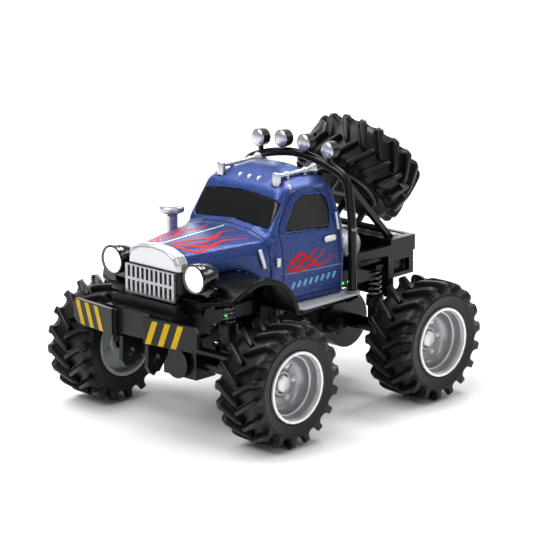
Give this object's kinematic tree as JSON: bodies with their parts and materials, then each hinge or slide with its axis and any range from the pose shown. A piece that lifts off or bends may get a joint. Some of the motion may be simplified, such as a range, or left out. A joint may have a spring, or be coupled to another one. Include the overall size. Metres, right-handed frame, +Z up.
{
  "type": "radio controlled monster truck",
  "caption": "Toy monster truck with an old-style pickup cab, sprung live axles, steered front wheels, driven rear wheels, lamp bar, stacked exhaust and a spare wheel on a sloping rack.",
  "frame": {"origin": "on the ground under the middle of the bounding box", "axes": "+X towards the truck's left side, -Y towards its front, +Z up"},
  "size_m": [0.219, 0.2926, 0.2052],
  "materials": {
    "chassis_plastic": "black moulded plastic",
    "cab_blue": "metallic blue lacquer with printed flames",
    "window_glass": "smoked glossy plastic",
    "bright_trim": "silver-painted plastic",
    "grille_grey": "silver-grey plastic",
    "pod_black": "glossy black plastic",
    "lamp_lens": "white lamp lens",
    "gloss_black": "glossy black plastic",
    "step_grey": "grey plastic",
    "stripe_yellow": "printed yellow stripe",
    "lamp_chrome": "mirror-bright reflector",
    "tyre_rubber": "soft black rubber",
    "rim_silver": "silver-painted plastic",
    "tank_silver": "silver-painted plastic",
    "cell_blue": "shrink-wrapped battery pack",
    "board_green": "green circuit board",
    "steel": "bright steel",
    "dark_plastic": "dark grey moulded plastic",
    "switch_grey": "grey plastic",
    "white_plastic": "white moulded plastic",
    "spring_steel": "spring wire",
    "pinion_brass": "brass"
  },
  "bodies": {
    "chassis": {"chassis_frame": "chassis_plastic", "cab_shell": "cab_blue", "windshield": "window_glass", "side_windows": "window_glass", "rear_window": "window_glass", "nose_cap": "bright_trim", "grille": "grille_grey", "headlight_pod_left": "pod_black", "headlight_pod_right": "pod_black", "headlight_lens_left": "lamp_lens", "headlight_lens_right": "lamp_lens", "fender_left": "gloss_black", "fender_right": "gloss_black", "running_board_left": "step_grey", "running_board_right": "step_grey", "front_bumper": "gloss_black", "bumper_stripes": "stripe_yellow", "tow_brackets": "gloss_black", "intake_stack": "bright_trim", "air_horn_left": "bright_trim", "air_horn_right": "bright_trim", "cab_trim": "bright_trim", "roll_hoop": "gloss_black", "roof_lamp_housings": "pod_black", "roof_lamp_lenses": "lamp_chrome", "cargo_bed": "chassis_plastic", "spare_rack": "gloss_black", "spare_tyre": "tyre_rubber", "spare_rim": "rim_silver", "fuel_tank": "tank_silver", "battery_pack": "cell_blue", "receiver_board": "board_green", "body_screws": "steel", "spring_front_left": "spring_steel", "spring_front_right": "spring_steel", "spring_rear_left": "spring_steel", "spring_rear_right": "spring_steel"},
    "battery_door": {"battery_door": "dark_plastic"},
    "power_switch": {"power_switch": "switch_grey"},
    "front_link": {"front_link": "dark_plastic"},
    "front_axle": {"front_axle_housing": "dark_plastic", "steering_servo": "dark_plastic"},
    "servo_horn": {"servo_horn": "white_plastic"},
    "tie_rod": {"tie_rod": "dark_plastic"},
    "knuckle_left": {"knuckle_left": "dark_plastic"},
    "knuckle_right": {"knuckle_right": "dark_plastic"},
    "front_wheel_left": {"front_left_tyre": "tyre_rubber", "front_left_rim": "rim_silver"},
    "front_wheel_right": {"front_right_tyre": "tyre_rubber", "front_right_rim": "rim_silver"},
    "rear_link": {"rear_link": "dark_plastic"},
    "rear_axle": {"rear_axle_housing": "dark_plastic", "drive_motor": "steel"},
    "motor_pinion": {"motor_pinion": "pinion_brass"},
    "rear_wheels": {"rear_axle_shaft": "steel", "rear_left_tyre": "tyre_rubber", "rear_left_rim": "rim_silver", "rear_right_tyre": "tyre_rubber", "rear_right_rim": "rim_silver"}
  },
  "joints": [
    {"name": "front_heave", "type": "hinge", "parent": "chassis", "child": "front_link", "pos_m": [0, -0.03, 0.062], "axis": [-1, 0, 0], "range_deg": [-6.5, 6.5], "stiffness_Nm_per_rad": 2.2, "springref_deg": -4.01, "deforming": ["spring_front_left", "spring_front_right"]},
    {"name": "front_roll", "type": "hinge", "parent": "front_link", "child": "front_axle", "pos_m": [0, -0.072, 0.05], "axis": [0, 1, 0], "range_deg": [-5, 5], "stiffness_Nm_per_rad": 1.6},
    {"name": "steer_left", "type": "hinge", "parent": "front_axle", "child": "knuckle_left", "pos_m": [0.066, -0.084, 0.046], "axis": [0, 0, 1], "range_deg": [-25, 25]},
    {"name": "steer_right", "type": "hinge", "parent": "front_axle", "child": "knuckle_right", "pos_m": [-0.066, -0.084, 0.046], "axis": [0, 0, 1], "range_deg": [-25, 25]},
    {"name": "tie_rod_slide", "type": "slide", "parent": "front_axle", "child": "tie_rod", "axis": [1, 0, 0], "range_m": [-0.0053, 0.0053]},
    {"name": "servo_turn", "type": "hinge", "parent": "front_axle", "child": "servo_horn", "pos_m": [0, -0.084, 0.064], "axis": [0, 0, 1], "range_deg": [-25, 25]},
    {"name": "front_wheel_left_spin", "type": "hinge", "parent": "knuckle_left", "child": "front_wheel_left", "pos_m": [0.0885, -0.084, 0.046], "axis": [1, 0, 0], "continuous": true},
    {"name": "front_wheel_right_spin", "type": "hinge", "parent": "knuckle_right", "child": "front_wheel_right", "pos_m": [-0.0885, -0.084, 0.046], "axis": [1, 0, 0], "continuous": true},
    {"name": "rear_heave", "type": "hinge", "parent": "chassis", "child": "rear_link", "pos_m": [0, 0.022, 0.062], "axis": [1, 0, 0], "range_deg": [-6.5, 6.5], "stiffness_Nm_per_rad": 2.8, "springref_deg": -4.58, "deforming": ["spring_rear_left", "spring_rear_right"]},
    {"name": "rear_roll", "type": "hinge", "parent": "rear_link", "child": "rear_axle", "pos_m": [0, 0.044, 0.05], "axis": [0, 1, 0], "range_deg": [-5, 5], "stiffness_Nm_per_rad": 1.6},
    {"name": "rear_wheel_spin", "type": "hinge", "parent": "rear_axle", "child": "rear_wheels", "pos_m": [0, 0.076, 0.046], "axis": [1, 0, 0], "continuous": true},
    {"name": "pinion_spin", "type": "hinge", "parent": "rear_axle", "child": "motor_pinion", "pos_m": [0, 0.056, 0.046], "axis": [1, 0, 0], "continuous": true},
    {"name": "power_switch_slide", "type": "slide", "parent": "chassis", "child": "power_switch", "axis": [0, 1, 0], "range_m": [0, 0.005]},
    {"name": "battery_door_hinge", "type": "hinge", "parent": "chassis", "child": "battery_door", "pos_m": [0, -0.018, 0.0611], "axis": [-1, 0, 0], "range_deg": [0, 85]}
  ],
  "couplings": [
    {"joint": "steer_right", "follows": "steer_left", "ratio": 1},
    {"joint": "tie_rod_slide", "follows": "steer_left", "m_per_rad": 0.01175},
    {"joint": "servo_turn", "follows": "steer_left", "ratio": 1},
    {"joint": "pinion_spin", "follows": "rear_wheel_spin", "ratio": -3}
  ]
}
